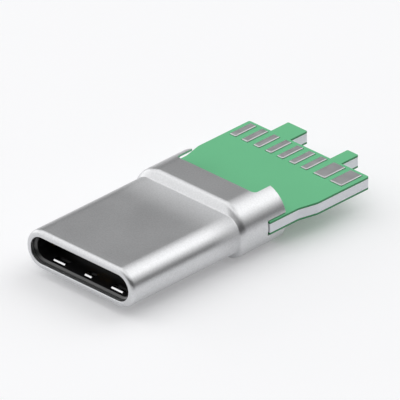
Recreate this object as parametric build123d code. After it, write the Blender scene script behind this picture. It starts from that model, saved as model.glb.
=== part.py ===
from build123d import *
import math
import os

# Bare cable plug of the 24-way reversible kind, on its small wiring board.
# X runs across the plug, Y from the mouth to the wires, Z up.
# The origin is the centre of the mouth, in the plane of the lip.
# All sizes are millimetres.

# Contact rows, which set the width of the plug
contact_pitch = 0.50
contacts_in_row = 12
missing_contacts = 2
row_margin = 0.175

# Nose of the shell, the part that enters the socket
nose_height = 2.40
nose_wall = 0.30
lip_fold = 0.09
lip_depth = 0.12
lip_round = 0.28
lip_chamfer = 0.05

# Step from the nose up to the collar
step_start = 8.44
step_run = 0.30
side_step = 0.125
top_step = 0.525
step_foot_round = 0.10
step_crest_round = 0.40
step_inner_bevel = 0.10

# Collar of the shell, which holds the board
collar_wall = 0.12
collar_length = 3.16
flap_width = 1.26
window_depth = 1.30
window_corner = 0.30
slot_depth = 1.45
slot_corner = 0.12
slot_clearance = 0.07

# Wiring board: a pale core between two green layers
core_thickness = 0.55
mask_thickness = 0.115
neck_proud = 0.035
neck_length = 2.26
flare_length = 1.20
flare_round = 1.20
wide_length = 4.07
shoulder_gap = 0.10
board_corner = 0.10
mask_setback = 0.12

# Two tabs on the board's rear edge
tab_length = 1.37
left_tab_width = 1.47
left_tab_inset = 1.67
right_tab_width = 0.83
right_tab_inset = 2.12
tab_corner = 0.06

# Solder pads for the wires, a row of narrow ones and then wide ones
narrow_pads = 7
wide_pads = 2
narrow_pad_width = 0.46
wide_pad_width = 0.88
pad_length = 1.65
narrow_pad_gap = 0.446
wide_pad_gap = 0.39
pad_group_gap = 0.51
pad_left_margin = 0.295
pad_right_margin = 0.319
pad_rear_margin = 0.22
pad_proud = 0.06
pad_chamfer = 0.025
pad_clearance = 0.02

# Front housing, the black moulding in the nose
fit_gap = 0.02
housing_setback = 0.30
housing_wall = 0.20
lead_in = 0.10
mouth_depth = 1.60
tongue_side_wall = 0.355
tongue_height = 0.86
tongue_corner = 0.15
back_wall = 0.80
comb_front_wall = 0.20
comb_skin = 0.08
channel_front_wall = 1.70

# Contacts
contact_width = 0.25
contact_thickness = 0.15
contact_side_gap = 0.045
contact_bend = 0.30
beam_gap = 0.065
beam_straight = 1.25
crest_proud = 0.085
tip_gap = 0.25
tip_run = 0.40
tip_lift = 0.215
jog_run = 0.25
jog_setback = 0.10
tail_gap = 0.045

# Contact blocks behind the housing, pinned together through the latch plate
block_length = 2.20
block_overlap = 0.16
peg_radius = 0.35
peg_place = 1.90
peg_depth = 0.18
peg_gap = 0.03

# Latch plate between the blocks
latch_thickness = 0.20
latch_side_gap = 0.085
latch_front_gap = 0.05
arm_width = 0.22
arm_gap = 0.08
arm_front_gap = 0.35
arm_root_round = 0.15
channel_gap = 0.05
hook_reach = 0.35
hook_length = 0.50
hook_tip = 0.06
prong_length = 1.00
prong_gap = 0.02

# Ground springs, each with three fingers that show in the mouth
spring_thickness = 0.08
spring_margin = 0.075
spring_setback = 0.37
spring_bar = 0.50
spring_recess_gap = 0.01
wide_finger = 0.85
narrow_finger = 0.50
finger_margin = 0.215
finger_length = 0.52
finger_proud = 0.11
finger_lift = 0.18
finger_bend = 0.12
finger_crest_run = 0.18
finger_root_run = 0.15
finger_window_gap = 0.06

# Lands and solder that hold the contact tails
board_front_gap = 0.05
land_thickness = 0.12
land_width = 0.32
land_front = 0.30
land_rear_margin = 0.15
tail_rear_margin = 0.25
solder_run = 0.16
solder_rise = 0.11

# Length that every through cut runs past the solid it cuts
overrun = 1.0

# Width of the search for an edge at a known place
search = 0.01

# Widths of the shell and the board
row_span = contact_pitch * (contacts_in_row - 1)
flat_width = row_span + 2 * row_margin
nose_width = flat_width + nose_height
collar_width = nose_width + 2 * side_step
collar_height = nose_height + 2 * top_step
window_width = collar_width - 2 * flap_width
neck_width = collar_width + 2 * neck_proud
narrow_row = narrow_pads * narrow_pad_width + (narrow_pads - 1) * narrow_pad_gap
wide_row = wide_pads * wide_pad_width + (wide_pads - 1) * wide_pad_gap
board_width = pad_left_margin + narrow_row + pad_group_gap + wide_row + pad_right_margin

# Widths of what goes in the shell
nose_bore_width = nose_width - 2 * nose_wall
nose_bore_height = nose_height - 2 * nose_wall
insert_width = nose_bore_width - 2 * fit_gap
insert_height = nose_bore_height - 2 * fit_gap
mouth_width = insert_width - 2 * housing_wall
mouth_height = insert_height - 2 * housing_wall
tongue_width = insert_width - 2 * tongue_side_wall
latch_width = insert_width - 2 * latch_side_gap
board_tongue_width = latch_width - 2 * (arm_width + prong_gap)
spring_width = flat_width - 2 * spring_margin
finger_spacing = spring_width / 2 - wide_finger / 2 - finger_margin
comb_slot_width = contact_width + 2 * contact_side_gap

# Places along the plug, from the mouth to the wires
step_end = step_start + step_run
collar_end = step_end + collar_length
window_front = collar_end - window_depth
slot_front = collar_end - slot_depth
shoulder_y = slot_front + shoulder_gap
neck_end = shoulder_y + neck_length
flare_end = neck_end + flare_length
board_rear = flare_end + wide_length
pad_rear = board_rear - pad_rear_margin
block_rear = step_start + block_overlap
housing_rear = block_rear - block_length
housing_front = housing_setback
mouth_end = housing_front + mouth_depth
tongue_end = housing_rear - back_wall
comb_front = mouth_end + comb_front_wall
channel_front = housing_front + channel_front_wall
finger_front = housing_front + spring_setback
finger_root = finger_front + finger_length
spring_rear = finger_root + spring_bar
peg_y = (housing_rear + block_rear) / 2
plate_front = housing_rear + latch_front_gap
arm_front = channel_front + arm_front_gap
board_front = block_rear + board_front_gap
mask_front = shoulder_y - mask_setback
land_start = board_front + land_front
land_end = mask_front - land_rear_margin
tail_end = land_end - tail_rear_margin

# Heights from the board's middle plane
core_top = core_thickness / 2
board_top = core_top + mask_thickness
pad_thickness = mask_thickness + pad_proud
land_top = core_top + land_thickness
tail_height = land_top + contact_thickness / 2
insert_top = insert_height / 2
comb_ceiling = insert_top - comb_skin
beam_height = comb_ceiling - beam_gap - contact_thickness / 2
crest_height = tongue_height / 2 - crest_proud
latch_half = latch_thickness / 2
channel_half = latch_half + channel_gap
spring_recess = spring_thickness + spring_recess_gap
crest_finger_height = mouth_height / 2 - finger_proud


def stadium(width, height, y):
    """Section of the plug across Y: two flats joined by two half rounds."""
    across = Plane(origin=(0, y, 0), x_dir=(1, 0, 0), z_dir=(0, 1, 0))
    return across * SlotOverall(width, height)


def stadium_bar(width, height, y_from, y_to):
    """Straight bar of that section between two places along the plug."""
    return extrude(stadium(width, height, y_from), amount=y_to - y_from)


def stadium_cone(width_from, height_from, y_from, width_to, height_to, y_to):
    """Tapered stretch between two such sections."""
    return loft([stadium(width_from, height_from, y_from), stadium(width_to, height_to, y_to)], ruled=True)


def slab(x_from, x_to, y_from, y_to, z_from, z_to):
    """Rectangular block given by its six sides."""
    middle = Pos((x_from + x_to) / 2, (y_from + y_to) / 2, (z_from + z_to) / 2)
    return middle * Box(abs(x_to - x_from), abs(y_to - y_from), abs(z_to - z_from))


def bent_strip(points, bend, thickness, width, x):
    """Sheet strip that follows points in Y and Z, with round bends, centred on x."""
    path = FilletPolyline(*points, radius=bend)
    side_view = Plane.YZ * trace(path, line_width=thickness)
    return Pos(x, 0, 0) * extrude(side_view, amount=width / 2, both=True)


def edges_across(solid, y):
    """Edges that lie in the plane across the plug at y."""
    return solid.edges().filter_by_position(Axis.Y, y - search, y + search)


def below(solid):
    """The same piece mirrored to the underside."""
    return mirror(solid, about=Plane.XY)


def both_sides(solid):
    """The piece together with its mirror image across the plug."""
    return solid + mirror(solid, about=Plane.YZ)


def pegs(radius, z_from, z_to):
    """Two round pegs, one each side of the middle, between two heights."""
    height = z_to - z_from
    return both_sides(Pos(peg_place, peg_y, z_from + height / 2) * Cylinder(radius, height))


def step_shift():
    """How much later the step comes on the inside of the wall."""
    return nose_wall * math.tan(math.atan2(top_step, step_run) / 2)


def make_shell():
    """One drawn tube: nose, step and collar, with its windows and side slots."""
    outside = stadium_bar(nose_width, nose_height, 0, step_start)
    outside += stadium_cone(nose_width, nose_height, step_start, collar_width, collar_height, step_end)
    outside += stadium_bar(collar_width, collar_height, step_end, collar_end)
    outside = fillet(edges_across(outside, step_start), step_foot_round)
    outside = fillet(edges_across(outside, step_end), step_crest_round)
    outside = fillet(edges_across(outside, 0), lip_round)

    bore_width = collar_width - 2 * collar_wall
    bore_height = collar_height - 2 * collar_wall
    bore_step = step_start + step_shift()
    bore_end = bore_step + step_run
    bore = stadium_bar(nose_bore_width, nose_bore_height, lip_depth, bore_step)
    bore += stadium_cone(nose_bore_width, nose_bore_height, bore_step, bore_width, bore_height, bore_end)
    bore += stadium_bar(bore_width, bore_height, bore_end, collar_end + overrun)
    bore = chamfer(edges_across(bore, bore_step), step_inner_bevel)
    lip = stadium_bar(nose_bore_width - 2 * lip_fold, nose_bore_height - 2 * lip_fold, 0, 2 * lip_depth)
    shell = outside - bore - lip
    front_face = shell.faces().sort_by(Axis.Y)[0]
    shell = chamfer(front_face.inner_wires()[0].edges(), lip_chamfer)

    window_length = window_depth + overrun
    window = Pos(0, window_front + window_length, 0)
    window *= RectangleRounded(window_width, 2 * window_length, window_corner)
    shell -= extrude(window, amount=collar_height, both=True)

    slot_length = slot_depth + overrun
    slot = Pos(slot_front + slot_length, 0, 0)
    slot *= RectangleRounded(2 * slot_length, 2 * (board_top + slot_clearance), slot_corner)
    shell -= extrude(Plane.YZ * slot, amount=collar_width, both=True)
    return shell


def contact_places():
    """Middles of the contact places across the plug, from left to right."""
    return [contact_pitch * i - row_span / 2 for i in range(contacts_in_row)]


def lower_contact_places():
    """The lower row leaves its middle places empty."""
    places = contact_places()
    middle = contacts_in_row // 2
    skip = missing_contacts // 2
    return places[:middle - skip] + places[middle + skip:]


def finger_places():
    """Middle and width of each ground spring finger."""
    return [(-finger_spacing, wide_finger), (0, narrow_finger), (finger_spacing, wide_finger)]


def make_spring():
    """Thin plate over the housing with three fingers bent into the mouth."""
    plate_top = insert_top - spring_recess_gap
    plate_middle = plate_top - spring_thickness / 2
    spring = slab(-spring_width / 2, spring_width / 2, finger_root, spring_rear,
                  plate_top - spring_thickness, plate_top)
    crest = crest_finger_height + spring_thickness / 2
    side_view = [
        (finger_root + spring_bar / 2, plate_middle),
        (finger_root - finger_root_run, plate_middle),
        (finger_front + finger_crest_run, crest),
        (finger_front, crest + finger_lift),
    ]
    for x, width in finger_places():
        spring += bent_strip(side_view, finger_bend, spring_thickness, width, x)
    return spring


def spring_pocket():
    """Recess and windows that a ground spring takes in the housing."""
    gap = finger_window_gap
    half = spring_width / 2 + gap
    pocket = slab(-half, half, finger_root, spring_rear + spring_recess_gap,
                  insert_top - spring_recess, insert_top + overrun)
    for x, width in finger_places():
        pocket += slab(x - width / 2 - gap, x + width / 2 + gap, finger_front - gap, finger_root,
                       0, insert_top + overrun)
    return pocket


def comb_slots():
    """Slots of the upper contacts: open to the tongue space, and through the wall behind it."""
    half = comb_slot_width / 2
    rear = housing_rear + overrun
    slots = Part()
    for x in contact_places():
        slots += slab(x - half, x + half, comb_front, tongue_end, 0, comb_ceiling)
        slots += slab(x - half, x + half, tongue_end, rear, land_top - tail_gap, comb_ceiling)
    return slots


def latch_channels():
    """Side channels that the latch arms lie in, open outwards, with a way in for the hooks."""
    arm_inner = latch_width / 2 - arm_width
    channel = slab(arm_inner - arm_gap, nose_width / 2, channel_front, housing_rear + overrun,
                   -channel_half, channel_half)
    hook_rear = arm_front + hook_length + channel_gap
    channel += slab(arm_inner - hook_reach - arm_gap, arm_inner, channel_front, hook_rear,
                    -channel_half, channel_half)
    return both_sides(channel)


def make_housing():
    """Black moulding with the mouth, the tongue space, the contact combs and the latch channels."""
    housing = stadium_bar(insert_width, insert_height, housing_front, housing_rear)
    housing -= stadium_bar(mouth_width, mouth_height, housing_front, mouth_end)
    housing -= stadium_cone(mouth_width + 2 * lead_in, mouth_height + 2 * lead_in, housing_front,
                            mouth_width, mouth_height, housing_front + lead_in)
    tongue_plane = Plane(origin=(0, mouth_end, 0), x_dir=(1, 0, 0), z_dir=(0, 1, 0))
    tongue = tongue_plane * RectangleRounded(tongue_width, tongue_height, tongue_corner)
    housing -= extrude(tongue, amount=tongue_end - mouth_end)
    comb = comb_slots()
    pocket = spring_pocket()
    for cut in (comb, below(comb), pocket, below(pocket), latch_channels()):
        housing -= cut
    return housing


def make_contact(x):
    """Upper contact: soldered tail, straight shank, jog, beam, crest and lifted tip."""
    jog_rear = housing_rear - jog_setback
    jog_front = jog_rear - jog_run
    tip_y = comb_front + tip_gap
    side_view = [
        (tail_end, tail_height),
        (jog_rear, tail_height),
        (jog_front, beam_height),
        (jog_front - beam_straight, beam_height),
        (tip_y + tip_run, crest_height),
        (tip_y, crest_height + tip_lift),
    ]
    return bent_strip(side_view, contact_bend, contact_thickness, contact_width, x)


def make_block(contacts):
    """Upper contact block, moulded round its contacts."""
    block = stadium_bar(insert_width, insert_height, housing_rear, block_rear)
    block &= slab(-nose_width, nose_width, 0, board_rear, latch_half, nose_height)
    for contact in contacts:
        block -= contact
    return block


def make_latch():
    """Middle plate with two hooked arms in front and two prongs behind."""
    outer = latch_width / 2
    inner = outer - arm_width
    hook_ramp = (hook_length - hook_tip) / 2
    plate = slab(-outer, outer, plate_front, block_rear, -latch_half, latch_half)
    plate -= pegs(peg_radius + peg_gap, -latch_thickness, latch_thickness)
    hook = make_face(Polyline(
        (inner, arm_front),
        (inner - hook_reach, arm_front + hook_ramp),
        (inner - hook_reach, arm_front + hook_ramp + hook_tip),
        (inner, arm_front + hook_length),
        close=True,
    ))
    arm = slab(inner, outer, arm_front, plate_front, -latch_half, latch_half)
    arm += extrude(hook, amount=latch_half, both=True)
    prong = slab(inner, outer, block_rear, block_rear + prong_length, -latch_half, latch_half)
    latch = plate + both_sides(arm + prong)
    roots = [
        edge for edge in latch.edges().filter_by(Axis.Z)
        if abs(edge.center().Y - plate_front) < search and abs(abs(edge.center().X) - inner) < search
    ]
    return fillet(roots, arm_root_round)


def board_outline(front):
    """Plan of the board behind a front edge: tongue, neck, flare, wide part and two tabs."""
    half_wide = board_width / 2
    half_neck = neck_width / 2
    right = [(half_neck, shoulder_y), (half_neck, neck_end), (half_wide, flare_end), (half_wide, board_rear)]
    left = [(-x, y) for x, y in reversed(right)]
    plan = make_face(Polyline(*right, *left, close=True))
    flare = [corner for corner in plan.vertices() if neck_end - search < corner.Y < flare_end + search]
    plan = fillet(flare, flare_round)
    rear = [corner for corner in plan.vertices() if corner.Y > board_rear - search]
    plan = fillet(rear, board_corner)
    tongue_length = shoulder_y - front + board_corner
    plan += Pos(0, front + tongue_length / 2) * Rectangle(board_tongue_width, tongue_length)
    left_tab_place = left_tab_inset + left_tab_width / 2 - half_wide
    right_tab_place = half_wide - right_tab_inset - right_tab_width / 2
    for place, width in ((left_tab_place, left_tab_width), (right_tab_place, right_tab_width)):
        plan += Pos(place, board_rear) * RectangleRounded(width, 2 * tab_length, tab_corner)
    return plan


def pad_places():
    """Left edge and width of each wire pad, from left to right."""
    first = pad_left_margin - board_width / 2
    narrow_step = narrow_pad_width + narrow_pad_gap
    wide_step = wide_pad_width + wide_pad_gap
    first_wide = first + narrow_row + pad_group_gap
    places = [(first + narrow_step * i, narrow_pad_width) for i in range(narrow_pads)]
    return places + [(first_wide + wide_step * i, wide_pad_width) for i in range(wide_pads)]


def make_pad(left, width):
    """Upper wire pad: a flat plate with softened top edges."""
    pad = slab(left, left + width, pad_rear - pad_length, pad_rear, core_top, core_top + pad_thickness)
    return chamfer(pad.faces().sort_by(Axis.Z)[-1].edges(), pad_chamfer)


def make_core():
    """Pale middle layer of the board."""
    return extrude(board_outline(board_front), amount=core_top, both=True)


def make_mask():
    """Upper green layer with a window round each wire pad."""
    gap = pad_clearance
    mask = Pos(0, 0, core_top) * extrude(board_outline(mask_front), amount=mask_thickness)
    for left, width in pad_places():
        mask -= slab(left - gap, left + width + gap, pad_rear - pad_length - gap, pad_rear + gap,
                     core_top, board_top + overrun)
    return mask


def make_lands(places):
    """Upper lands under the contact tails, as separate plates."""
    half = land_width / 2
    return Part() + [slab(x - half, x + half, land_start, land_end, core_top, land_top) for x in places]


def make_solder(places):
    """Wedge of solder behind each upper tail."""
    wedge = make_face(Polyline(
        (tail_end, land_top),
        (tail_end + solder_run, land_top),
        (tail_end, land_top + solder_rise),
        close=True,
    ))
    wedge = extrude(Plane.YZ * wedge, amount=contact_width / 2, both=True)
    return Part() + [Pos(x, 0, 0) * wedge for x in places]


def make_parts():
    """All pieces by name."""
    upper = contact_places()
    lower = lower_contact_places()
    upper_contacts = [make_contact(x) for x in upper]
    lower_contacts = [make_contact(x) for x in lower]
    spring = make_spring()
    mask = make_mask()
    peg_top = latch_half + peg_depth
    upper_block = make_block(upper_contacts) - pegs(peg_radius + peg_gap, 0, peg_top + peg_gap)
    lower_block = below(make_block(lower_contacts)) + pegs(peg_radius, -peg_top, peg_top)
    parts = {
        "shell": make_shell(),
        "front_housing": make_housing(),
        "upper_ground_spring": spring,
        "lower_ground_spring": below(spring),
        "upper_contact_block": upper_block,
        "lower_contact_block": lower_block,
        "latch_plate": make_latch(),
        "board_core": make_core(),
        "board_top_mask": mask,
        "board_bottom_mask": below(mask),
        "upper_tail_lands": make_lands(upper),
        "lower_tail_lands": below(make_lands(lower)),
        "upper_tail_solder": make_solder(upper),
        "lower_tail_solder": below(make_solder(lower)),
    }
    for i, contact in enumerate(upper_contacts, 1):
        parts[f"upper_contact_{i:02d}"] = contact
    for i, contact in enumerate(lower_contacts, 1):
        parts[f"lower_contact_{i:02d}"] = below(contact)
    for i, (left, width) in enumerate(pad_places(), 1):
        pad = make_pad(left, width)
        parts[f"top_pad_{i}"] = pad
        parts[f"bottom_pad_{i}"] = below(pad)
    return parts


os.makedirs("parts", exist_ok=True)
for name, piece in make_parts().items():
    piece.label = name
    export_step(piece, f"parts/{name}.step")
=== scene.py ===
import math

import bmesh
import bpy
import numpy as np
from bpy.props import FloatProperty, FloatVectorProperty, PointerProperty
from mathutils import Matrix, Vector


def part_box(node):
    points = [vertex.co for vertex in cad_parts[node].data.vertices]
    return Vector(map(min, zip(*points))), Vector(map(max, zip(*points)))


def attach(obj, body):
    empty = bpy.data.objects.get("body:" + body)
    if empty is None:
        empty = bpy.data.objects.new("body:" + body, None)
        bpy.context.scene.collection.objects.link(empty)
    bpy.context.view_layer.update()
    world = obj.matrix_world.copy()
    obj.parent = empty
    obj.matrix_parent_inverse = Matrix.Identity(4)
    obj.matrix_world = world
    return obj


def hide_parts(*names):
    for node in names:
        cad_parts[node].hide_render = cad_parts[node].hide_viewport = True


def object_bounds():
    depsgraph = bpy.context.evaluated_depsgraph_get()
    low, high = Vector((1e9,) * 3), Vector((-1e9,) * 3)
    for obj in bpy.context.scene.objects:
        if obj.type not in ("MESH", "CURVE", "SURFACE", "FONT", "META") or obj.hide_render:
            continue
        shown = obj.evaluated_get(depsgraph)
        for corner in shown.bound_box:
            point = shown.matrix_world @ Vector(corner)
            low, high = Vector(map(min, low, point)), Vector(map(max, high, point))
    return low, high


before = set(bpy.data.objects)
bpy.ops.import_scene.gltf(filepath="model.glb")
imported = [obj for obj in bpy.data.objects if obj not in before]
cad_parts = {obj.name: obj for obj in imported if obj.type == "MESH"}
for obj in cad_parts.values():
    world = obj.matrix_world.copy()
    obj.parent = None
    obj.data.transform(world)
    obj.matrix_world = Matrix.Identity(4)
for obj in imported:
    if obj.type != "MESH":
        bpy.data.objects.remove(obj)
CAD_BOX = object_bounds()

bl_info = {
    "name": "Cable plug on a wiring board",
    "version": (1, 0, 0),
    "blender": (4, 5, 0),
    "location": "View3D > Sidebar > Cable plug",
    "description": "Dresses the plug's drawn shell, wiring board, pads, contacts and moulded pieces",
    "category": "Object",
}

BODY = "root"
SHELL_LOW, SHELL_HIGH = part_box("shell")
MASK_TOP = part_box("board_top_mask")[1].z
SPRING_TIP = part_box("lower_ground_spring")[0].y

# Meshes: doubles nearer than this merge, flatter edges shade smooth, sharper ones are rounded
MERGE_DISTANCE = 1e-8
SMOOTH_BELOW = math.radians(35)
ROUND_ABOVE = math.radians(50)
# Points on each stretch round the shell's section: a cut's corner, the flat, the stretch beside a
# corner, a slot's side, a flap
CORNER, FLAT, BESIDE_CORNER, SLOT_SIDE, FLAP = 10, 12, 4, 5, 22
# Rows on each stretch along the shell, outside and then inside
COLLAR, CREST, SLOPE, FOOT, NOSE, LIP, LIP_INNER = 4, 29, 7, 13, 9, 13, 6
BORE, INNER_STEP, LINING, CUT_BAND, FLAP_ROWS = 8, 25, 4, 6, 7
# The body's rows end this far in front of the slots
SLOT_MARGIN = 0.00005
# Points on a pad's corner and on its edge round, places of the rings over its top as shares of
# its half size, and the least share of its corner radius that is left at the top
PAD_CORNER, PAD_ROUND = 5, 7
PAD_RINGS = (0.8, 0.55, 0.3, 0.0)
LEAST_CORNER = 0.2

# Finishes: share of fine grain in the roughness, range of the slow noise that makes the whole tone,
# upward facing at which a layer's painted side shade ends and its face begins, and the coat's roughness
GRAIN_SHARE = 0.3
TONE_FROM, TONE_TO = 0.3, 0.7
EDGE_FACING, FACE_FACING = 0.3, 0.8
COAT_ROUGHNESS = 0.2
# The step's haze begins this far in front of the step and stops over this length at its foot
HAZE_REACH, HAZE_STOP = 0.0026, 0.00008
# Painted shade: the spring's fingers keep their colour up to the first place behind their tips and
# are painted darker from the second, like the shade inside the mouth, keeping this share of their
# colour
TIP_BRIGHT, TIP_SHADED = 0.0001, 0.00018
SHADE_SHARE = 0.125

# Studio: angles at which a soft panel is full and at which it ends, half the floor, camera sensor
PANEL_FULL, PANEL_END = math.cos(math.radians(4)), math.cos(math.radians(30))
FLOOR_HALF = 0.6
SENSOR = 36.0


def length(label, text, default):
    """A length in metres for the panel."""
    return FloatProperty(name=label, description=text, default=default, min=0.0, precision=5,
                         unit="LENGTH", subtype="DISTANCE")


def tint(label, text, default):
    """A colour for the panel, in linear values."""
    return FloatVectorProperty(name=label, description=text, default=default, min=0.0, max=1.0,
                               size=3, subtype="COLOR")


def share(label, text, default):
    """A number from nothing to one for the panel."""
    return FloatProperty(name=label, description=text, default=default, min=0.0, max=1.0)


def offset(label, text, default):
    """A shift in metres, either way, for the panel."""
    return FloatProperty(name=label, description=text, default=default, unit="LENGTH",
                         subtype="DISTANCE")


def degrees(label, text, default):
    """An angle, given in degrees, for the panel."""
    return FloatProperty(name=label, description=text, default=math.radians(default),
                         unit="ROTATION", subtype="ANGLE")


def soft_panel(label, azimuth, elevation, level):
    """A soft panel of the studio: its azimuth and elevation in degrees, and its level."""
    return FloatVectorProperty(name=label, description="Azimuth, elevation (degrees) and level",
                               default=(azimuth, elevation, level), size=3)


class PlugShellSizes(bpy.types.PropertyGroup):
    """Sizes of the drawn shell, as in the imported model"""
    nose_width: length("Nose width", "Outside width of the nose", 0.00825)
    nose_height: length("Nose height", "Outside height of the nose", 0.0024)
    nose_wall: length("Nose wall", "Thickness of the nose wall", 0.0003)
    lip_fold: length("Lip fold", "How far the lip stands inside the bore", 0.00009)
    lip_depth: length("Lip depth", "Depth of the lip along the plug", 0.00012)
    lip_round: length("Lip round", "Outer radius of the lip", 0.00028)
    lip_inner_round: length("Lip inner round", "Radius of the lip's inner edge", 0.00005)
    step_start: length("Step start", "Place where the nose ends", 0.00844)
    step_run: length("Step run", "Length of the step along the plug", 0.0003)
    foot_round: length("Step foot round", "Radius of the outer bend at the step's foot", 0.0001)
    crest_round: length("Step crest round", "Radius of the outer bend at the step's crest", 0.0004)
    step_inner_round: length("Step inner round", "Radius of the step's inner bend", 0.0002)
    collar_width: length("Collar width", "Outside width of the collar", SHELL_HIGH.x - SHELL_LOW.x)
    collar_height: length("Collar height", "Outside height of the collar", SHELL_HIGH.z - SHELL_LOW.z)
    collar_end: length("Collar end", "Place where the collar's flaps end", SHELL_HIGH.y)
    collar_wall: length("Collar wall", "Thickness of the collar wall", 0.00012)
    window_width: length("Window width", "Width of the cut above and below the board", 0.00598)
    window_depth: length("Window depth", "Depth of that cut from the flaps' ends", 0.0013)
    window_corner: length("Window corner", "Radius of that cut's corners", 0.0003)
    slot_depth: length("Slot depth", "Depth of the side slots from the flaps' ends", 0.00145)
    slot_corner: length("Slot corner", "Radius of the slots' corners", 0.00012)
    slot_clearance: length("Slot clearance", "Gap between the slot and the board", 0.00007)
    edge_round: length("Cut edge", "Softening of the cut edges", 0.00003)


class PlugPadSizes(bpy.types.PropertyGroup):
    """Sizes of the wire pads' softened form"""
    edge_round: length("Edge round", "Radius of a pad's top edge", 0.00005)
    corner_round: length("Corner round", "Radius of a pad's corners in plan", 0.00005)
    dome: length("Dome", "How far a pad's middle stands above its edge", 0.000001)


class PlugFinishes(bpy.types.PropertyGroup):
    """Colours and roughness of the plug's finishes"""
    steel: tint("Shell steel", "Colour of the drawn shell", (0.64, 0.645, 0.655))
    spring: tint("Spring steel", "Colour of springs and latch plate", (0.72, 0.72, 0.73))
    gold: tint("Contact gold", "Colour of the contacts", (0.83, 0.60, 0.26))
    tin: tint("Tinned pad", "Colour of the wire pads", (0.62, 0.625, 0.635))
    solder: tint("Solder", "Colour of the solder", (0.70, 0.705, 0.72))
    moulding: tint("Black moulding", "Colour of the moulded pieces", (0.008, 0.008, 0.009))
    mask: tint("Green layer", "Colour of the board's green faces", (0.145, 0.522, 0.262))
    # darker green for the green layer's cut edges: painted shade on the sides, not a colour of their
    # own
    mask_side_shade: tint("Green edge", "Colour of the green layer's cut edges", (0.045, 0.270, 0.105))
    core: tint("Board core", "Colour of the core's routed edge", (0.93, 0.955, 1.0))
    steel_roughness: share("Steel roughness", "Roughness of the shell", 0.36)
    step_haze: share("Step haze", "Roughness that drawing the step adds in front of it", 0.22)


class PlugStudio(bpy.types.PropertyGroup):
    """Camera and floor"""
    azimuth: degrees("Azimuth", "Camera turn from the front", 44.25)
    elevation: degrees("Elevation", "Camera height angle", 29.07)
    view_width: length("View width", "Width that the picture takes in", 0.02196)
    aim_right: offset("Aim right", "Shift of the aim to the right", -0.000035)
    aim_up: offset("Aim up", "Shift of the aim upwards", 0.00048)
    aim_along: length("Aim along", "Place along the plug that the camera looks at", 0.0095)
    lens: FloatProperty(name="Lens", default=1400.0, min=1.0, max=5000.0,
                        description="Focal length, long because the picture has next to no perspective",
                        unit="CAMERA", subtype="DISTANCE_CAMERA")
    floor: tint("Floor", "Colour of the floor", (0.77, 0.772, 0.785))
    floor_glow: share("Floor glow", "Light that the floor adds of its own", 0.21)


class PlugPanels(bpy.types.PropertyGroup):
    """Soft panels of the studio, all of one size"""
    overhead: soft_panel("Overhead", 0, 80, 0.34)
    high_020: soft_panel("High, 20 degrees round", 20, 60, 0.59)
    high_071: soft_panel("High, 71 degrees round", 71, 60, 0.62)
    high_123: soft_panel("High, 123 degrees round", 123, 60, 0.59)
    high_174: soft_panel("High, 174 degrees round", 174, 60, 0.75)
    high_226: soft_panel("High, 226 degrees round", 226, 60, 0.72)
    high_277: soft_panel("High, 277 degrees round", 277, 60, 0.81)
    high_329: soft_panel("High, 329 degrees round", 329, 60, 0.66)
    middle_036: soft_panel("Middle, 36 degrees round", 36, 42, 0.57)
    middle_072: soft_panel("Middle, 72 degrees round", 72, 42, 0.61)
    middle_108: soft_panel("Middle, 108 degrees round", 108, 42, 0.37)
    middle_180: soft_panel("Middle, 180 degrees round", 180, 42, 0.36)
    middle_216: soft_panel("Middle, 216 degrees round", 216, 42, 0.22)
    low_070: soft_panel("Low, 70 degrees round", 70, 24, 0.74)
    low_100: soft_panel("Low, 100 degrees round", 100, 24, 0.33)
    low_160: soft_panel("Low, 160 degrees round", 160, 24, 0.11)
    low_190: soft_panel("Low, 190 degrees round", 190, 24, 0.29)
    low_220: soft_panel("Low, 220 degrees round", 220, 24, 0.85)
    low_250: soft_panel("Low, 250 degrees round", 250, 24, 0.22)
    floor_180: soft_panel("By the floor, 180 degrees round", 180, 6, 1.42)
    floor_206: soft_panel("By the floor, 206 degrees round", 206, 6, 0.19)
    floor_231: soft_panel("By the floor, 231 degrees round", 231, 6, 0.41)
    floor_257: soft_panel("By the floor, 257 degrees round", 257, 6, 0.50)
    floor_140: soft_panel("By the floor, 140 degrees round", 140, -4, 0.5)


# Meshes

def grid_faces(rows, columns, closed):
    """Quads of a grid whose points run row by row; closed joins the last column to the first."""
    last = columns if closed else columns - 1
    row, column = np.meshgrid(np.arange(rows - 1), np.arange(last), indexing="ij")
    after = (column + 1) % columns
    near, far = row * columns, (row + 1) * columns
    return np.stack([near + column, near + after, far + after, far + column], -1).reshape(-1, 4)


def put_mesh(name, blocks):
    """An object from blocks of (points, quads): the blocks are put together, doubles merged,
    faces turned outwards, and all faces shaded smooth except across sharp edges."""
    mesh = bpy.data.meshes.new(name)
    points = np.concatenate([block[0].reshape(-1, 3) for block in blocks])
    starts = np.cumsum([0] + [block[0].reshape(-1, 3).shape[0] for block in blocks[:-1]])
    quads = np.concatenate([block[1] + start for block, start in zip(blocks, starts)]).astype(np.int32)
    mesh.vertices.add(len(points))
    mesh.vertices.foreach_set("co", points.astype(np.float32).ravel())
    mesh.loops.add(quads.size)
    mesh.loops.foreach_set("vertex_index", quads.ravel())
    mesh.polygons.add(len(quads))
    mesh.polygons.foreach_set("loop_start", np.arange(0, quads.size, 4, dtype=np.int32))
    mesh.update(calc_edges=True)
    mesh.validate()
    work = bmesh.new()
    work.from_mesh(mesh)
    bmesh.ops.remove_doubles(work, verts=work.verts, dist=MERGE_DISTANCE)
    bmesh.ops.dissolve_degenerate(work, edges=work.edges, dist=MERGE_DISTANCE)
    bmesh.ops.recalc_face_normals(work, faces=work.faces)
    work.to_mesh(mesh)
    work.free()
    mesh.shade_smooth()
    mesh.set_sharp_from_angle(angle=SMOOTH_BELOW)
    piece = bpy.data.objects.new(name, mesh)
    bpy.context.scene.collection.objects.link(piece)
    return piece


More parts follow.
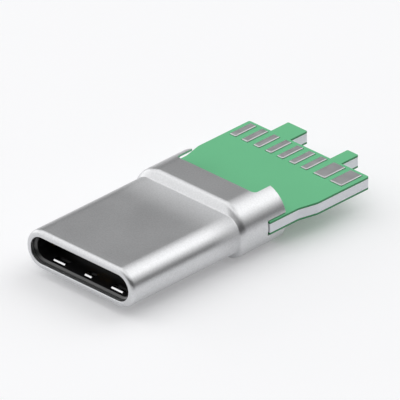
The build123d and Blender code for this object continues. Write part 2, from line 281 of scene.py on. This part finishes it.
def soften(piece, width):
    """Rounds the piece's sharp edges by a small width."""
    bevel = piece.modifiers.new("cut edges", "BEVEL")
    bevel.width = width
    bevel.segments = 2
    bevel.limit_method = "ANGLE"
    bevel.angle_limit = ROUND_ABOVE
    bevel.harden_normals = True
    bevel.use_clamp_overlap = True


def dress(name, finish):
    """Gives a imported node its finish."""
    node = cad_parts[name]
    if node.material_slots:
        for held in node.material_slots:
            held.material = finish
    else:
        node.data.materials.append(finish)


def place(piece, finish, slot, *nodes):
    """Gives a new piece its finish and its place in the part."""
    piece.data.materials.append(finish)
    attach(piece, BODY)
    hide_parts(*nodes)


# Finishes

def add(tree, kind, **values):
    """A node of that kind, with its settings."""
    node = tree.nodes.new(kind)
    for key, value in values.items():
        setattr(node, key, value)
    return node


def start_group(name, inputs, outputs):
    """A node group with these inputs and outputs, each a name and the kind of its socket. Returns the
    group and its input and output nodes."""
    group = bpy.data.node_groups.new(name, "ShaderNodeTree")
    for way, sockets in (("INPUT", inputs), ("OUTPUT", outputs)):
        for label, kind in sockets.items():
            group.interface.new_socket(label, in_out=way, socket_type="NodeSocket" + kind)
    return group, add(group, "NodeGroupInput"), add(group, "NodeGroupOutput")


def grain_group():
    """Surface grain that every finish uses. Height is a fine noise that can be stretched along an
    axis. Tone is a slow noise. Rough runs from Low to High with seven parts tone to three of grain."""
    held = bpy.data.node_groups.get("surface_grain")
    if held:
        return held
    group, given, out = start_group(
        "surface_grain",
        {"Scale": "Float", "Stretch": "Vector", "Tone Scale": "Float", "Low": "Float", "High": "Float"},
        {"Height": "Float", "Tone": "Float", "Rough": "Float"})
    link = group.links.new
    place_of = add(group, "ShaderNodeTexCoord")
    stretched = add(group, "ShaderNodeVectorMath", operation="MULTIPLY")
    link(place_of.outputs["Object"], stretched.inputs[0])
    link(given.outputs["Stretch"], stretched.inputs[1])
    fine = add(group, "ShaderNodeTexNoise")
    fine.inputs["Detail"].default_value = 2.0
    fine.inputs["Roughness"].default_value = 0.6
    link(stretched.outputs[0], fine.inputs["Vector"])
    link(given.outputs["Scale"], fine.inputs["Scale"])
    slow = add(group, "ShaderNodeTexNoise")
    slow.inputs["Detail"].default_value = 3.0
    link(place_of.outputs["Object"], slow.inputs["Vector"])
    link(given.outputs["Tone Scale"], slow.inputs["Scale"])
    spread = add(group, "ShaderNodeMapRange")
    spread.inputs["From Min"].default_value = TONE_FROM
    spread.inputs["From Max"].default_value = TONE_TO
    link(slow.outputs["Fac"], spread.inputs["Value"])
    mixed = add(group, "ShaderNodeMix", data_type="FLOAT")
    mixed.inputs["Factor"].default_value = GRAIN_SHARE
    link(spread.outputs["Result"], mixed.inputs["A"])
    link(fine.outputs["Fac"], mixed.inputs["B"])
    ranged = add(group, "ShaderNodeMapRange")
    link(mixed.outputs["Result"], ranged.inputs["Value"])
    link(given.outputs["Low"], ranged.inputs["To Min"])
    link(given.outputs["High"], ranged.inputs["To Max"])
    link(fine.outputs["Fac"], out.inputs["Height"])
    link(spread.outputs["Result"], out.inputs["Tone"])
    link(ranged.outputs["Result"], out.inputs["Rough"])
    return group


def shade_group():
    """A colour made lighter and darker over the surface: times one, plus Spread times how far the slow
    Tone is from a half, plus Speckle times how far the fine Grain is from a half."""
    held = bpy.data.node_groups.get("tone_colour")
    if held:
        return held
    group, given, out = start_group(
        "tone_colour",
        {"Colour": "Color", "Tone": "Float", "Grain": "Float", "Spread": "Float", "Speckle": "Float"},
        {"Colour": "Color"})
    link = group.links.new
    total = None
    for source, amount in (("Tone", "Spread"), ("Grain", "Speckle")):
        around = add(group, "ShaderNodeMath", operation="SUBTRACT")
        around.inputs[1].default_value = 0.5
        link(given.outputs[source], around.inputs[0])
        scaled = add(group, "ShaderNodeMath", operation="MULTIPLY_ADD")
        scaled.inputs[2].default_value = 1.0
        link(around.outputs[0], scaled.inputs[0])
        link(given.outputs[amount], scaled.inputs[1])
        if total:
            link(total, scaled.inputs[2])
        total = scaled.outputs[0]
    toned = add(group, "ShaderNodeVectorMath", operation="SCALE")
    link(given.outputs["Colour"], toned.inputs[0])
    link(total, toned.inputs["Scale"])
    link(toned.outputs[0], out.inputs["Colour"])
    return group


def finish(name, colour, metallic, low, high, scale, bump, stretch=(1, 1, 1), tone_scale=900,
           spread=0.04, speckle=0.0, coat=0.0, specular=0.5):
    """A material with its grain: colour varied by the slow tone and the fine grain, roughness
    between low and high, and a bump of that depth in metres. Returns the material and the socket of
    its colour."""
    made = bpy.data.materials.new(name)
    made.use_nodes = True
    tree = made.node_tree
    tree.nodes.clear()
    link = tree.links.new
    out = add(tree, "ShaderNodeOutputMaterial")
    surface = add(tree, "ShaderNodeBsdfPrincipled")
    surface.inputs["Metallic"].default_value = metallic
    surface.inputs["Specular IOR Level"].default_value = specular
    surface.inputs["Coat Weight"].default_value = coat
    surface.inputs["Coat Roughness"].default_value = COAT_ROUGHNESS
    link(surface.outputs["BSDF"], out.inputs["Surface"])
    grain = add(tree, "ShaderNodeGroup", node_tree=grain_group())
    grain.inputs["Scale"].default_value = scale
    grain.inputs["Stretch"].default_value = stretch
    grain.inputs["Tone Scale"].default_value = tone_scale
    grain.inputs["Low"].default_value = low
    grain.inputs["High"].default_value = high
    toned = add(tree, "ShaderNodeGroup", node_tree=shade_group())
    toned.inputs["Colour"].default_value = (*colour, 1)
    toned.inputs["Spread"].default_value = spread
    toned.inputs["Speckle"].default_value = speckle
    link(grain.outputs["Tone"], toned.inputs["Tone"])
    link(grain.outputs["Height"], toned.inputs["Grain"])
    link(toned.outputs["Colour"], surface.inputs["Base Color"])
    link(grain.outputs["Rough"], surface.inputs["Roughness"])
    rise = add(tree, "ShaderNodeBump")
    rise.inputs["Strength"].default_value = 1.0
    rise.inputs["Distance"].default_value = bump
    link(grain.outputs["Height"], rise.inputs["Height"])
    link(rise.outputs["Normal"], surface.inputs["Normal"])
    return made, toned.inputs["Colour"]


def panel_group():
    """One soft panel: Sum plus Level times a smooth step that is 0 at the panel's end, as an angle from
    Direction, and 1 where the panel is full."""
    held = bpy.data.node_groups.get("soft_panel")
    if held:
        return held
    group, given, out = start_group(
        "soft_panel", {"Toward": "Vector", "Direction": "Vector", "Level": "Float", "Sum": "Float"},
        {"Sum": "Float"})
    link = group.links.new
    near = add(group, "ShaderNodeVectorMath", operation="DOT_PRODUCT")
    link(given.outputs["Toward"], near.inputs[0])
    link(given.outputs["Direction"], near.inputs[1])
    step = add(group, "ShaderNodeMapRange", interpolation_type="SMOOTHSTEP")
    step.inputs["From Min"].default_value = PANEL_END
    step.inputs["From Max"].default_value = PANEL_FULL
    link(near.outputs["Value"], step.inputs["Value"])
    summed = add(group, "ShaderNodeMath", operation="MULTIPLY_ADD")
    link(step.outputs["Result"], summed.inputs[0])
    link(given.outputs["Level"], summed.inputs[1])
    link(given.outputs["Sum"], summed.inputs[2])
    link(summed.outputs[0], out.inputs["Sum"])
    return group


def add_glow(made, level):
    """Adds a plain white light of that level to a material, for rays of the camera, of mirrors and
    of glass."""
    tree = made.node_tree
    path = add(tree, "ShaderNodeLightPath")
    seen = path.outputs["Is Camera Ray"]
    for kind in ("Is Glossy Ray", "Is Transmission Ray"):
        either = add(tree, "ShaderNodeMath", operation="MAXIMUM")
        tree.links.new(seen, either.inputs[0])
        tree.links.new(path.outputs[kind], either.inputs[1])
        seen = either.outputs[0]
    glow = add(tree, "ShaderNodeEmission")
    scaled = add(tree, "ShaderNodeMath", operation="MULTIPLY")
    scaled.inputs[1].default_value = level
    tree.links.new(seen, scaled.inputs[0])
    tree.links.new(scaled.outputs[0], glow.inputs["Strength"])
    both = add(tree, "ShaderNodeAddShader")
    out = next(node for node in tree.nodes if node.type == "OUTPUT_MATERIAL")
    tree.links.new(out.inputs["Surface"].links[0].from_socket, both.inputs[0])
    tree.links.new(glow.outputs[0], both.inputs[1])
    tree.links.new(both.outputs[0], out.inputs["Surface"])


def paint_side_shade(made, colour_socket, face, edge):
    """Paints shade on the cut edges: the flat faces get one colour and the cut edges, which face
    sideways, a darker one as painted shade, by how far the surface faces up or down."""
    tree = made.node_tree
    facing = add(tree, "ShaderNodeTexCoord")
    parted = add(tree, "ShaderNodeSeparateXYZ")
    tree.links.new(facing.outputs["Normal"], parted.inputs[0])
    size = add(tree, "ShaderNodeMath", operation="ABSOLUTE")
    tree.links.new(parted.outputs["Z"], size.inputs[0])
    flat = add(tree, "ShaderNodeMapRange")
    flat.inputs["From Min"].default_value = EDGE_FACING
    flat.inputs["From Max"].default_value = FACE_FACING
    tree.links.new(size.outputs[0], flat.inputs["Value"])
    mixed = add(tree, "ShaderNodeMix", data_type="RGBA")
    mixed.inputs["A"].default_value = (*edge, 1)
    mixed.inputs["B"].default_value = (*face, 1)
    tree.links.new(flat.outputs["Result"], mixed.inputs["Factor"])
    tree.links.new(mixed.outputs["Result"], colour_socket)


def mask_along(tree, start, end):
    """A mask that goes smoothly from 0 at the place start along the plug to 1 at the place end."""
    place_of = add(tree, "ShaderNodeTexCoord")
    parted = add(tree, "ShaderNodeSeparateXYZ")
    tree.links.new(place_of.outputs["Object"], parted.inputs[0])
    mask = add(tree, "ShaderNodeMapRange", interpolation_type="SMOOTHSTEP")
    mask.inputs["From Min"].default_value = start
    mask.inputs["From Max"].default_value = end
    tree.links.new(parted.outputs["Y"], mask.inputs["Value"])
    return mask.outputs["Result"]


def haze_before(made, start, end, extra):
    """Adds roughness that grows along the plug from nothing at start to extra at end, and stops
    there."""
    tree = made.node_tree
    surface = next(node for node in tree.nodes if node.type == "BSDF_PRINCIPLED")
    rough = surface.inputs["Roughness"].links[0].from_socket
    both = add(tree, "ShaderNodeMath", operation="MULTIPLY")
    tree.links.new(mask_along(tree, start, end), both.inputs[0])
    tree.links.new(mask_along(tree, end, end - HAZE_STOP), both.inputs[1])
    summed = add(tree, "ShaderNodeMath", operation="MULTIPLY_ADD")
    summed.inputs[1].default_value = extra
    tree.links.new(both.outputs[0], summed.inputs[0])
    tree.links.new(rough, summed.inputs[2])
    tree.links.new(summed.outputs[0], surface.inputs["Roughness"])


def shade_behind_tips(made, colour_socket, colour, start, end):
    """Paints shade behind the springs' tips: the colour goes over to its darker share, from start to
    end along the plug.
    """
    tree = made.node_tree
    mixed = add(tree, "ShaderNodeMix", data_type="RGBA")
    mixed.inputs["A"].default_value = (*colour, 1)
    mixed.inputs["B"].default_value = (*(SHADE_SHARE * value for value in colour), 1)
    tree.links.new(mask_along(tree, start, end), mixed.inputs["Factor"])
    tree.links.new(mixed.outputs["Result"], colour_socket)


# Shell

def quadrant_columns(s):
    """Columns of one quarter of the shell, from the top's middle round to the side's middle.
    A column has its share of the flat, its angle on the outer and the inner arc, the place where
    the first band of rows ends, and whether the cell after it belongs to a flap."""
    flat = s.collar_width / 2 - s.collar_height / 2
    outer = s.collar_height / 2
    inner = outer - s.collar_wall
    half_window = s.window_width / 2
    half_slot = MASK_TOP + s.slot_clearance
    window_front = s.collar_end - s.window_depth
    slot_front = s.collar_end - s.slot_depth
    quarter = np.linspace(0, math.pi / 2, CORNER)
    over_flat = np.linspace(0, flat, FLAT)[:-1]
    before = np.linspace(flat, half_window - s.window_corner, BESIDE_CORNER)[:-1]
    corner_x = half_window - s.window_corner * (1 - np.sin(quarter))
    x = np.concatenate([over_flat, before, corner_x])
    window_end = window_front + np.concatenate([np.zeros(len(over_flat) + len(before)),
                                                s.window_corner * (1 - np.cos(quarter))])
    top_share = np.minimum(x / flat, 1)
    top_outer = np.arccos(np.clip((x - flat) / outer, 0, 1))
    top_inner = np.arccos(np.clip((x - flat) / inner, 0, 1))
    corner_z = half_slot - s.slot_corner * (1 - np.sin(quarter[::-1]))
    z = np.concatenate([corner_z, np.linspace(half_slot - s.slot_corner, 0, SLOT_SIDE)[1:]])
    slot_end = slot_front + np.concatenate([s.slot_corner * (1 - np.cos(quarter[::-1])),
                                            np.zeros(SLOT_SIDE - 1)])
    side_outer = np.arcsin(z / outer)
    side_inner = np.arcsin(z / inner)
    between = np.linspace(0, 1, FLAP)[1:-1]
    flap_outer = top_outer[-1] + (side_outer[0] - top_outer[-1]) * between
    flap_inner = top_inner[-1] + (side_inner[0] - top_inner[-1]) * between
    flap_end = window_end[-1] + (slot_end[0] - window_end[-1]) * between
    first = len(x) - 1
    last = first + len(between) + 1
    return (np.concatenate([top_share, np.ones(len(between) + len(z))]),
            np.concatenate([top_outer, flap_outer, side_outer]),
            np.concatenate([top_inner, flap_inner, side_inner]),
            np.concatenate([window_end, flap_end, slot_end]), first, last)


def ring(values):
    """Carries the quarter's values round all four quarters, each middle column once."""
    there, back = values[:-1], values[::-1][:-1]
    return np.concatenate([there, back, there, back])


def bend(start, run, rise, foot, crest, places):
    """Height over places of a step with a bend at its foot and one at its crest: flat, arc, slope, arc,
    flat. Each arc leaves its flat a tangent length, radius times the tangent of half the slope's angle,
    from its corner."""
    angle = math.atan2(rise, run)
    half, sine = math.tan(angle / 2), math.sin(angle)
    low = places - (start - foot * half)
    high = (start + run + crest * half) - places
    low_arc = foot - np.sqrt(np.maximum(foot ** 2 - np.clip(low, 0, foot * sine) ** 2, 0))
    high_arc = crest - np.sqrt(np.maximum(crest ** 2 - np.clip(high, 0, crest * sine) ** 2, 0))
    slope = rise * (places - start) / run
    height = np.where(low <= 0, 0.0, np.where(low < foot * sine, low_arc, slope))
    return np.where(high <= 0, rise, np.where(high < crest * sine, rise - high_arc, height))


def shell_rows(s):
    """Rows of the shell's section: place along the plug, half width, half height, and how far the
    row's angles have turned from the outer sheet's to the inner one's."""
    half_wide, half_high = s.nose_width / 2, s.nose_height / 2
    side = (s.collar_width - s.nose_width) / 2
    top = (s.collar_height - s.nose_height) / 2
    step_end = s.step_start + s.step_run
    front = s.collar_end - s.slot_depth - SLOT_MARGIN
    angle = math.atan2(top, s.step_run)
    crest_end = step_end + s.crest_round * math.tan(angle / 2)
    foot_start = s.step_start - s.foot_round * math.tan(angle / 2)
    crest_start = crest_end - s.crest_round * math.sin(angle)
    foot_end = foot_start + s.foot_round * math.sin(angle)
    outer_y = np.concatenate([np.linspace(front, crest_end, COLLAR)[:-1],
                              np.linspace(crest_end, crest_start, CREST)[:-1],
                              np.linspace(crest_start, foot_end, SLOPE)[:-1],
                              np.linspace(foot_end, foot_start, FOOT),
                              np.linspace(foot_start, s.lip_round, NOSE)[1:-1]])
    rounds = (s.foot_round, s.crest_round)
    rows = [np.stack([outer_y, half_wide + bend(s.step_start, s.step_run, side, *rounds, outer_y),
                      half_high + bend(s.step_start, s.step_run, top, *rounds, outer_y),
                      np.zeros_like(outer_y)], 1)]
    turn = np.linspace(math.pi / 2, 0, LIP)
    inset = s.lip_round * (1 - np.sin(turn))
    rows.append(np.stack([s.lip_round * (1 - np.cos(turn)), half_wide - inset, half_high - inset,
                          np.zeros_like(turn)], 1))
    fold = s.nose_wall + s.lip_fold
    turn = np.linspace(0, math.pi / 2, LIP_INNER)
    inset = fold - s.lip_inner_round * (1 - np.sin(turn))
    rows.append(np.stack([s.lip_inner_round * (1 - np.cos(turn)), half_wide - inset, half_high - inset,
                          np.zeros_like(turn)], 1))
    rows.append(np.array([[s.lip_depth, half_wide - fold, half_high - fold, 0.0],
                          [s.lip_depth, half_wide - s.nose_wall, half_high - s.nose_wall, 0.0]]))
    shift = s.nose_wall * math.tan(math.atan2(top, s.step_run) / 2)
    inner_start = s.step_start + shift
    inner_end = inner_start + s.step_run
    inner_top = s.collar_height / 2 - s.collar_wall - (half_high - s.nose_wall)
    inner_side = s.collar_width / 2 - s.collar_wall - (half_wide - s.nose_wall)
    inner_y = np.concatenate([np.linspace(s.lip_depth, inner_start - s.step_inner_round, BORE)[1:-1],
                              np.linspace(inner_start - s.step_inner_round, inner_end, INNER_STEP),
                              np.linspace(inner_end, front, LINING)[1:]])

    def opened(rise, half):
        """Inner step: a bend at its start, and a plain corner at its end."""
        bent = bend(inner_start, s.step_run * 2, rise * 2, s.step_inner_round, s.step_inner_round,
                    inner_y)
        return half + np.where(inner_y < inner_end, np.minimum(bent, rise), rise)

    turned = np.clip((inner_y - s.lip_depth) / (inner_end - s.lip_depth), 0, 1)
    rows.append(np.stack([inner_y, opened(inner_side, half_wide - s.nose_wall),
                          opened(inner_top, half_high - s.nose_wall), turned], 1))
    return np.concatenate(rows)


def section_points(y, half_wide, half_high, share_of_flat, angle, sign_x, sign_z):
    """Points of the stadium section: across is the share of the flat's half length plus the half
    height times the cosine of the angle, up is the half height times its sine."""
    across = sign_x * ((half_wide - half_high) * share_of_flat + half_high * np.cos(angle))
    return np.stack(np.broadcast_arrays(across, y, sign_z * half_high * np.sin(angle)), -1)


def shell_blocks(s):
    """The shell as one sheet carried round the section and folded at the lip, with the window rims,
    and four flaps, each with its rim and its two sides."""
    share_q, outer_q, inner_q, end_q, first, last = quadrant_columns(s)
    count = len(share_q) - 1
    share_of_flat, outer, inner, end = (ring(v) for v in (share_q, outer_q, inner_q, end_q))
    sign_x = np.repeat([1, 1, -1, -1], count)
    sign_z = np.repeat([1, -1, -1, 1], count)
    rows = shell_rows(s)
    y, wide, high, turned = (rows[:, k, None] for k in range(4))
    angle = outer + (inner - outer) * turned
    body = section_points(y, wide, high, share_of_flat, angle, sign_x, sign_z)
    front = rows[0, 0]
    band_y = front + (end - front) * np.linspace(1, 0, CUT_BAND)[:-1, None]
    collar = (s.collar_width / 2, s.collar_height / 2)
    lining = (collar[0] - s.collar_wall, collar[1] - s.collar_wall)
    outer_band = section_points(band_y, *collar, share_of_flat, outer, sign_x, sign_z)
    inner_band = section_points(band_y[::-1], *lining, share_of_flat, inner, sign_x, sign_z)
    sheet = np.concatenate([outer_band, body, inner_band])
    blocks = [(sheet, grid_faces(len(sheet), 4 * count, True))]
    # rims of the windows and slots join the sheet's two ends, where no flap goes on
    column = np.arange(4 * count)
    part = column % count
    in_quarter = np.where(column // count % 2 == 1, count - 1 - part, part)
    open_cell = (in_quarter < first) | (in_quarter >= last)
    here = column[open_cell]
    after = (here + 1) % (4 * count)
    ends = np.stack([sheet[0], sheet[-1]])
    rim = np.stack([here, after, after + 4 * count, here + 4 * count], -1)
    blocks.append((ends, rim))
    lengths = np.linspace(0, 1, FLAP_ROWS)[:, None]
    for x_way, z_way in ((1, 1), (1, -1), (-1, -1), (-1, 1)):
        o, i, e = (v[first:last + 1] for v in (outer_q, inner_q, end_q))
        full = np.ones_like(o)
        out_y = e + (s.collar_end - e) * lengths
        out_sheet = section_points(out_y, *collar, full, o, x_way, z_way)
        in_sheet = section_points(out_y[::-1], *lining, full, i, x_way, z_way)
        flap = np.concatenate([out_sheet, in_sheet])
        blocks.append((flap, grid_faces(len(flap), len(o), False)))
        for side in (0, -1):
            wall = np.stack([out_sheet[:, side], in_sheet[::-1][:, side]], 1)
            blocks.append((wall, grid_faces(len(wall), 2, False)))
    return blocks


# Pads

def pad_blocks(low, high, way, s):
    """One wire pad: a rounded rectangle carried up its side, over a quarter round and inwards to its
    middle, which stands a dome's height above the edge. way is 1 for the top face and -1 below."""
    middle = np.array([(low.x + high.x) / 2, (low.y + high.y) / 2])
    half = np.array([(high.x - low.x) / 2, (high.y - low.y) / 2])
    base, top = (low.z, high.z) if way > 0 else (high.z, low.z)
    turn = np.linspace(0, math.pi / 2, PAD_CORNER)
    corner = np.stack([np.cos(turn), np.sin(turn)], -1)
    signs = np.array([[1, 1], [-1, 1], [-1, -1], [1, -1]])
    corners = np.stack([corner, corner[::-1] * [-1, 1], corner * [-1, -1], corner[::-1] * [1, -1]])

    def outline(inset):
        """Points of the rectangle's edge, moved inwards, with its corners rounded."""
        radius = max(s.corner_round - inset, LEAST_CORNER * s.corner_round)
        centres = signs * (half - inset - radius)
        return (centres[:, None, :] + radius * corners).reshape(-1, 2)

    rise = abs(top - base)
    radius = s.edge_round
    turn = np.linspace(0, math.pi / 2, PAD_ROUND)
    rings = [(outline(0.0), 0.0)]
    rings += [(outline(radius * (1 - math.cos(a))), rise - radius + radius * math.sin(a)) for a in turn]
    rim = outline(radius)
    rings += [(rim * k, rise + s.dome * (1 - k * k)) for k in PAD_RINGS]
    points = np.stack([np.column_stack([plan + middle, np.full(len(plan), base + way * (z - s.dome))])
                       for plan, z in rings])
    points[0, :, 2] = base
    blocks = [(points, grid_faces(len(points), points.shape[1], True))]
    under = np.stack([points[0], np.broadcast_to([*middle, base], points[0].shape)])
    blocks.append((under, grid_faces(2, points.shape[1], True)))
    return blocks


# Operators

class PLUG_OT_shell(bpy.types.Operator):
    """Drawn steel shell with its rounded lip, step, windows and flaps"""
    bl_idname = "plug.shell"
    bl_label = "Drawn shell"

    def execute(self, context):
        colours = context.scene.plug_finishes
        rough = colours.steel_roughness
        steel, _ = finish("drawn_steel", colours.steel, 1.0, rough - 0.02, rough + 0.02, 11000, 3.2e-6,
                          tone_scale=500, spread=0.015, speckle=0.35)
        sizes = context.scene.plug_shell
        haze_before(steel, sizes.step_start - HAZE_REACH, sizes.step_start, colours.step_haze)
        skin = put_mesh("shell_skin", shell_blocks(sizes))
        soften(skin, sizes.edge_round)
        place(skin, steel, "shell_steel", "shell")
        return {"FINISHED"}


class PLUG_OT_board(bpy.types.Operator):
    """Wiring board: pale core between two green layers"""
    bl_idname = "plug.board"
    bl_label = "Wiring board"

    def execute(self, context):
        colours = context.scene.plug_finishes
        mask, colour = finish("green_layer", colours.mask, 0.0, 0.42, 0.5, 9000, 0.6e-6, tone_scale=350,
                              spread=0.03, specular=0.35)
        # the green layer's cut edges get a darker green, painted shade on the sides
        paint_side_shade(mask, colour, colours.mask, colours.mask_side_shade)
        core, _ = finish("board_core", colours.core, 0.0, 0.5, 0.6, 12000, 1.5e-6,
                         stretch=(0.2, 0.2, 2.0), tone_scale=1500, spread=0.05, specular=0.9)
        dress("board_core", core)
        dress("board_top_mask", mask)
        dress("board_bottom_mask", mask)
        return {"FINISHED"}


class PLUG_OT_pads(bpy.types.Operator):
    """Tinned wire pads on both faces of the board"""
    bl_idname = "plug.pads"
    bl_label = "Wire pads"

    def execute(self, context):
        colours = context.scene.plug_finishes
        tin, _ = finish("tinned_pad", colours.tin, 1.0, 0.34, 0.42, 12000, 1.2e-6, tone_scale=1600)
        names = [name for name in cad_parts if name.startswith(("top_pad_", "bottom_pad_"))]
        for name in sorted(names):
            low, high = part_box(name)
            way = 1 if name.startswith("top") else -1
            pad = put_mesh(name + "_skin", pad_blocks(low, high, way, context.scene.plug_pads))
            place(pad, tin, "tinned_pad", name)
        return {"FINISHED"}


class PLUG_OT_insides(bpy.types.Operator):
    """Finishes of the moulded pieces, springs, latch plate, contacts, lands and solder"""
    bl_idname = "plug.insides"
    bl_label = "Pieces inside the shell"

    def execute(self, context):
        colours = context.scene.plug_finishes
        moulding, _ = finish("black_moulding", colours.moulding, 0.0, 0.34, 0.44, 11000, 1.2e-6,
                             spread=0.2, coat=0.5, specular=0.9)
        spring, bright = finish("spring_steel", colours.spring, 1.0, 0.09, 0.15, 12000, 0.5e-6,
                                stretch=(1, 0.15, 1))
        # springs painted darker behind their tips: painted shade of the mouth's inside
        shade_behind_tips(spring, bright, colours.spring, SPRING_TIP + TIP_BRIGHT, SPRING_TIP + TIP_SHADED)
        gold, _ = finish("contact_gold", colours.gold, 1.0, 0.18, 0.28, 12000, 0.6e-6,
                         stretch=(1, 0.2, 1))
        solder, _ = finish("solder", colours.solder, 1.0, 0.2, 0.36, 7000, 2.0e-6, tone_scale=2500,
                           spread=0.1)
        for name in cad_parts:
            if name in ("front_housing", "upper_contact_block", "lower_contact_block"):
                dress(name, moulding)
            elif name in ("upper_ground_spring", "lower_ground_spring", "latch_plate"):
                dress(name, spring)
            elif "_contact_" in name or name.endswith("_lands"):
                dress(name, gold)
            elif name.endswith("_solder"):
                dress(name, solder)
        return {"FINISHED"}


class PLUG_OT_stage(bpy.types.Operator):
    """Pale floor, soft panels and the camera at the photograph's angle"""
    bl_idname = "plug.stage"
    bl_label = "Stage"

    def execute(self, context):
        studio = context.scene.plug_studio
        floor_z = CAD_BOX[0][2]
        ends = FLOOR_HALF * np.array([[-1, -1], [1, -1], [1, 1], [-1, 1]])
        corners = np.column_stack([ends, np.full(4, floor_z)])
        floor = put_mesh("floor", [(corners, np.array([[0, 1, 2, 3]]))])
        paint, _ = finish("floor_paper", studio.floor, 0.0, 0.8, 0.9, 3000, 0.5e-6, tone_scale=40,
                          spread=0.01, specular=0.1)
        add_glow(paint, studio.floor_glow)
        floor.data.materials.append(paint)
        self.panels(context)
        self.camera(context, studio)
        context.scene.view_settings.view_transform = "Standard"
        return {"FINISHED"}

    def panels(self, context):
        """A world lit by the soft panels: its level is the sum of theirs in each direction."""
        world = bpy.data.worlds.new("studio")
        context.scene.world = world
        world.use_nodes = True
        tree = world.node_tree
        around = add(tree, "ShaderNodeTexCoord")
        held = context.scene.plug_panels
        total = None
        for key in held.bl_rna.properties.keys():
            if key in ("rna_type", "name"):
                continue
            azimuth, elevation, level = getattr(held, key)
            turn, tilt = math.radians(azimuth), math.radians(elevation)
            lit = add(tree, "ShaderNodeGroup", node_tree=panel_group(), label=key)
            lit.inputs["Direction"].default_value = (math.cos(turn) * math.cos(tilt),
                                                     math.sin(turn) * math.cos(tilt), math.sin(tilt))
            lit.inputs["Level"].default_value = level
            tree.links.new(around.outputs["Generated"], lit.inputs["Toward"])
            if total:
                tree.links.new(total, lit.inputs["Sum"])
            total = lit.outputs["Sum"]
        tree.links.new(total, tree.nodes["Background"].inputs["Color"])

    def camera(self, context, studio):
        """A camera with a very long lens, at the photograph's azimuth and elevation."""
        turn, tilt = studio.azimuth, studio.elevation
        back = Vector((math.sin(turn) * math.cos(tilt), -math.cos(turn) * math.cos(tilt),
                       math.sin(tilt)))
        right = Vector((math.cos(turn), math.sin(turn), 0))
        up = back.cross(right)
        aim = Vector((0, studio.aim_along, 0)) + up * studio.aim_up + right * studio.aim_right
        lens = bpy.data.cameras.new("camera")
        lens.sensor_width = SENSOR
        lens.lens = studio.lens
        away = studio.view_width * studio.lens / SENSOR
        lens.clip_start, lens.clip_end = 0.001, 2 * away
        eye = bpy.data.objects.new("camera", lens)
        turned = Matrix((right, up, back)).transposed().to_4x4()
        eye.matrix_world = Matrix.Translation(aim + back * away) @ turned
        context.scene.collection.objects.link(eye)
        context.scene.camera = eye


STEPS = (PLUG_OT_shell, PLUG_OT_board, PLUG_OT_pads, PLUG_OT_insides, PLUG_OT_stage)
GROUPS = {"plug_shell": PlugShellSizes, "plug_pads": PlugPadSizes,
          "plug_finishes": PlugFinishes, "plug_studio": PlugStudio, "plug_panels": PlugPanels}


class PLUG_PT_panel(bpy.types.Panel):
    """Sizes, colours and steps of the plug"""
    bl_label = "Cable plug"
    bl_idname = "PLUG_PT_panel"
    bl_space_type = "VIEW_3D"
    bl_region_type = "UI"
    bl_category = "Cable plug"

    def draw(self, context):
        for step in STEPS:
            self.layout.operator(step.bl_idname)
        for group in GROUPS:
            held = getattr(context.scene, group)
            box = self.layout.box()
            for key in held.bl_rna.properties.keys():
                if key not in ("rna_type", "name"):
                    box.prop(held, key)


def register():
    for made in (*GROUPS.values(), *STEPS, PLUG_PT_panel):
        bpy.utils.register_class(made)
    for name, group in GROUPS.items():
        setattr(bpy.types.Scene, name, PointerProperty(type=group))


def unregister():
    for name in GROUPS:
        delattr(bpy.types.Scene, name)
    for made in reversed((*GROUPS.values(), *STEPS, PLUG_PT_panel)):
        bpy.utils.unregister_class(made)


def main():
    register()
    bpy.ops.plug.shell()
    bpy.ops.plug.board()
    bpy.ops.plug.pads()
    bpy.ops.plug.insides()
    bpy.ops.plug.stage()


if __name__ == "__main__":
    main()
